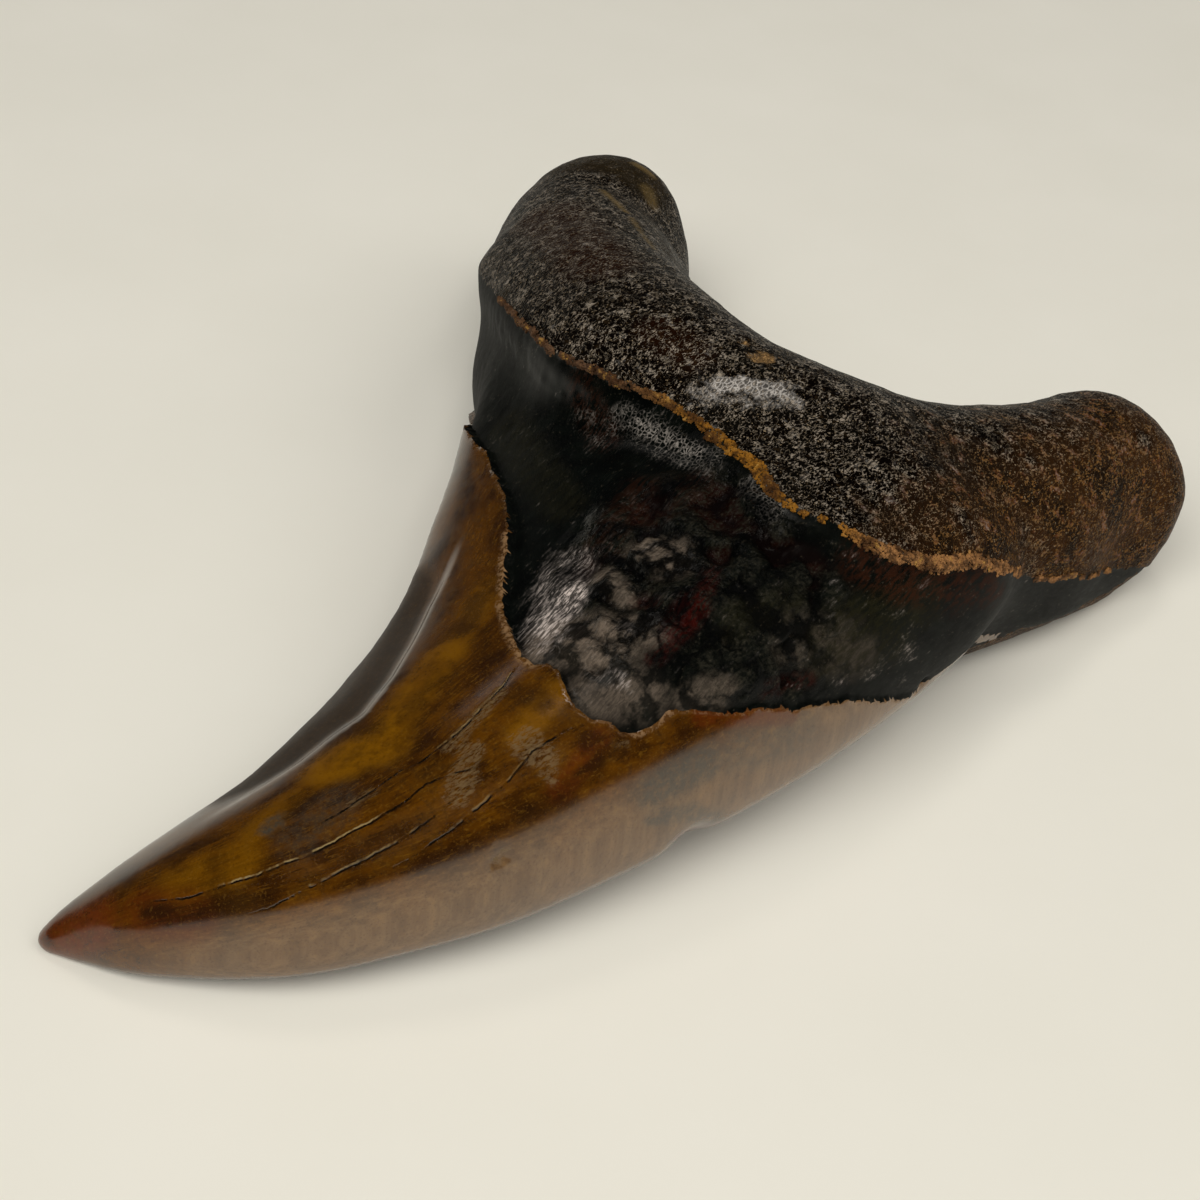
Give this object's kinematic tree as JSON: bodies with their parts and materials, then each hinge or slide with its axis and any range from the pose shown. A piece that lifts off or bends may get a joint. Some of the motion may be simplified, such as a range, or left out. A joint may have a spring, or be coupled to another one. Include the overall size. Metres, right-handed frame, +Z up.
{
  "type": "fossil shark tooth",
  "caption": "Fossil shark tooth lying with its domed lingual face up: curved pointed crown, wide dark neck and arched two-lobed root.",
  "frame": {"origin": "middle of the tooth's box, at the level of the surface that it rests on", "axes": "+Y from the crown's tip towards the root, +X towards the convex mesial edge, +Z up out of the domed lingual face"},
  "size_m": [0.0446, 0.0638, 0.0165],
  "materials": {
    "fossil_tooth": "mineralised: glossy amber enamel on the crown, polished near-black neck, matt to satin grainy dark brown root"
  },
  "bodies": {
    "root": {"tooth": "fossil_tooth"}
  },
  "joints": []
}
